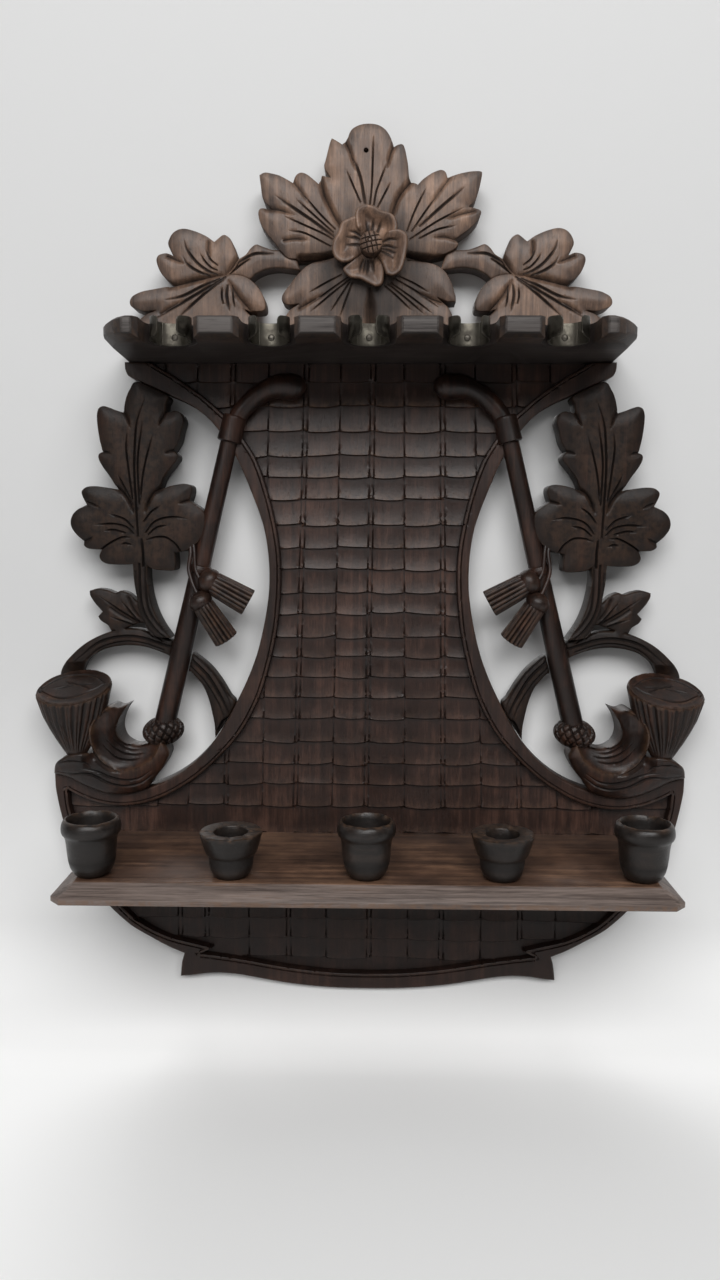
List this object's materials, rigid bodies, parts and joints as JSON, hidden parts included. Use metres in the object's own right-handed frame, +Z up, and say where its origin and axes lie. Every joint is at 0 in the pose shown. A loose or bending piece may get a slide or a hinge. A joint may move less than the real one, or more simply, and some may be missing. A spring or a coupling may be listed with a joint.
{
  "type": "pipe rack",
  "caption": "Carved walnut wall rack for tobacco pipes: waisted back board with leaf and pipe carvings, notched upper shelf with spring clips, lower shelf with turned cups.",
  "frame": {"origin": "on the wall plane, at the middle of the back board's back face, at the height of the board's waist", "axes": "+X to the viewer's right, -Y out of the wall towards the viewer, +Z up"},
  "size_m": [0.3576, 0.095, 0.4622],
  "materials": {
    "walnut": "dark stained and waxed, hand carved",
    "pipe_wood": "dark stained and waxed, hand carved",
    "shelf_wood": "dark stained and waxed, worn at its edges",
    "turned_wood": "almost black stain, turned, satin",
    "clip_steel": "tarnished spring sheet, dull",
    "iron": "dull iron nails and screws"
  },
  "bodies": {
    "rack": {"back_board": "walnut", "upper_shelf": "shelf_wood", "lower_shelf": "shelf_wood", "crest": "walnut", "rosette_petals": "walnut", "rosette_button": "walnut", "left_branch": "walnut", "right_branch": "walnut", "left_pipe": "pipe_wood", "right_pipe": "pipe_wood", "left_upper_tassel": "pipe_wood", "left_lower_tassel": "pipe_wood", "right_upper_tassel": "pipe_wood", "right_lower_tassel": "pipe_wood", "cup_1": "turned_wood", "cup_2": "turned_wood", "cup_3": "turned_wood", "cup_4": "turned_wood", "cup_5": "turned_wood", "clip_1_base": "clip_steel", "clip_2_base": "clip_steel", "clip_3_base": "clip_steel", "clip_4_base": "clip_steel", "clip_5_base": "clip_steel", "clip_1_nail": "iron", "clip_2_nail": "iron", "clip_3_nail": "iron", "clip_4_nail": "iron", "clip_5_nail": "iron", "lower_shelf_screw_1": "iron", "lower_shelf_screw_2": "iron", "lower_shelf_screw_3": "iron", "upper_shelf_screw_1": "iron", "upper_shelf_screw_2": "iron", "crest_screw_1": "iron", "crest_screw_2": "iron"},
    "clip_1_left": {"clip_1_left_arm": "clip_steel"},
    "clip_1_right": {"clip_1_right_arm": "clip_steel"},
    "clip_2_left": {"clip_2_left_arm": "clip_steel"},
    "clip_2_right": {"clip_2_right_arm": "clip_steel"},
    "clip_3_left": {"clip_3_left_arm": "clip_steel"},
    "clip_3_right": {"clip_3_right_arm": "clip_steel"},
    "clip_4_left": {"clip_4_left_arm": "clip_steel"},
    "clip_4_right": {"clip_4_right_arm": "clip_steel"},
    "clip_5_left": {"clip_5_left_arm": "clip_steel"},
    "clip_5_right": {"clip_5_right_arm": "clip_steel"}
  },
  "joints": [
    {"name": "clip_1_left_spring", "type": "hinge", "parent": "rack", "child": "clip_1_left", "pos_m": [-0.09967, -0.05782, 0.1235], "axis": [0, -0.0698, -0.9976], "range_deg": [0, 9], "stiffness_Nm_per_rad": 0.01},
    {"name": "clip_1_right_spring", "type": "hinge", "parent": "rack", "child": "clip_1_right", "pos_m": [-0.08733, -0.05782, 0.1235], "axis": [0, 0.0698, 0.9976], "range_deg": [0, 9], "stiffness_Nm_per_rad": 0.01},
    {"name": "clip_2_left_spring", "type": "hinge", "parent": "rack", "child": "clip_2_left", "pos_m": [-0.05317, -0.05782, 0.1235], "axis": [0, -0.0698, -0.9976], "range_deg": [0, 9], "stiffness_Nm_per_rad": 0.01},
    {"name": "clip_2_right_spring", "type": "hinge", "parent": "rack", "child": "clip_2_right", "pos_m": [-0.04083, -0.05782, 0.1235], "axis": [0, 0.0698, 0.9976], "range_deg": [0, 9], "stiffness_Nm_per_rad": 0.01},
    {"name": "clip_3_left_spring", "type": "hinge", "parent": "rack", "child": "clip_3_left", "pos_m": [-0.00617, -0.05782, 0.1235], "axis": [0, -0.0698, -0.9976], "range_deg": [0, 9], "stiffness_Nm_per_rad": 0.01},
    {"name": "clip_3_right_spring", "type": "hinge", "parent": "rack", "child": "clip_3_right", "pos_m": [0.00617, -0.05782, 0.1235], "axis": [0, 0.0698, 0.9976], "range_deg": [0, 9], "stiffness_Nm_per_rad": 0.01},
    {"name": "clip_4_left_spring", "type": "hinge", "parent": "rack", "child": "clip_4_left", "pos_m": [0.04083, -0.05782, 0.1235], "axis": [0, -0.0698, -0.9976], "range_deg": [0, 9], "stiffness_Nm_per_rad": 0.01},
    {"name": "clip_4_right_spring", "type": "hinge", "parent": "rack", "child": "clip_4_right", "pos_m": [0.05317, -0.05782, 0.1235], "axis": [0, 0.0698, 0.9976], "range_deg": [0, 9], "stiffness_Nm_per_rad": 0.01},
    {"name": "clip_5_left_spring", "type": "hinge", "parent": "rack", "child": "clip_5_left", "pos_m": [0.08733, -0.05782, 0.1235], "axis": [0, -0.0698, -0.9976], "range_deg": [0, 9], "stiffness_Nm_per_rad": 0.01},
    {"name": "clip_5_right_spring", "type": "hinge", "parent": "rack", "child": "clip_5_right", "pos_m": [0.09967, -0.05782, 0.1235], "axis": [0, 0.0698, 0.9976], "range_deg": [0, 9], "stiffness_Nm_per_rad": 0.01}
  ],
  "couplings": [
    {"joint": "clip_1_right_spring", "follows": "clip_1_left_spring", "ratio": 1},
    {"joint": "clip_2_right_spring", "follows": "clip_2_left_spring", "ratio": 1},
    {"joint": "clip_3_right_spring", "follows": "clip_3_left_spring", "ratio": 1},
    {"joint": "clip_4_right_spring", "follows": "clip_4_left_spring", "ratio": 1},
    {"joint": "clip_5_right_spring", "follows": "clip_5_left_spring", "ratio": 1}
  ]
}
